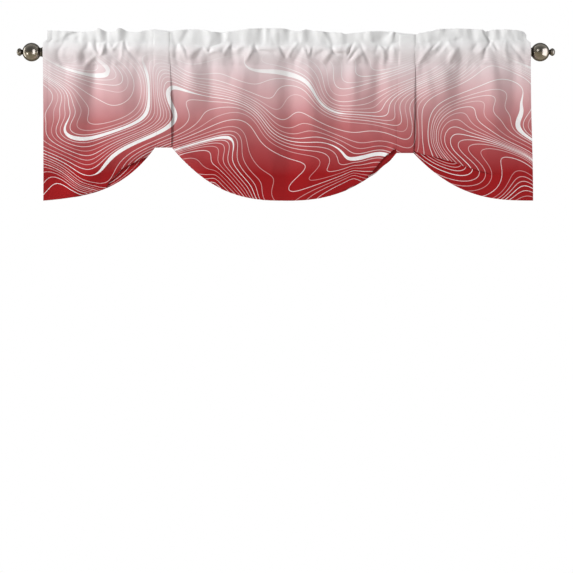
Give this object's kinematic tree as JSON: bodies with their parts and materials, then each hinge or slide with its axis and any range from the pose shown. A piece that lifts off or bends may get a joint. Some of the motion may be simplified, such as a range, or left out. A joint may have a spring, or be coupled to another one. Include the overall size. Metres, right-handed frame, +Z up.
{
  "type": "tie-up valance on a curtain rod",
  "caption": "Short gathered window valance on a rod with ball finials. Flat straps draw the printed cloth up into scallops.",
  "frame": {"origin": "middle of the rod's axis, halfway between the two ball finials", "axes": "+X along the rod to the right as seen from the room, +Y back towards the window, +Z up; the front of the cloth faces -Y"},
  "size_m": [1.448, 0.0524, 0.4621],
  "materials": {
    "printed_cloth": "matt printed polyester, fading from white at the heading to deep red at the hem, with thin white lines",
    "rod_steel": "antique nickel plating, satin",
    "finial_metal": "antique nickel plating, semi-gloss"
  },
  "bodies": {
    "root": {"valance_panel": "printed_cloth", "tie_left": "printed_cloth", "tie_right": "printed_cloth", "rod": "rod_steel", "finial_left": "finial_metal", "finial_right": "finial_metal"}
  },
  "joints": []
}
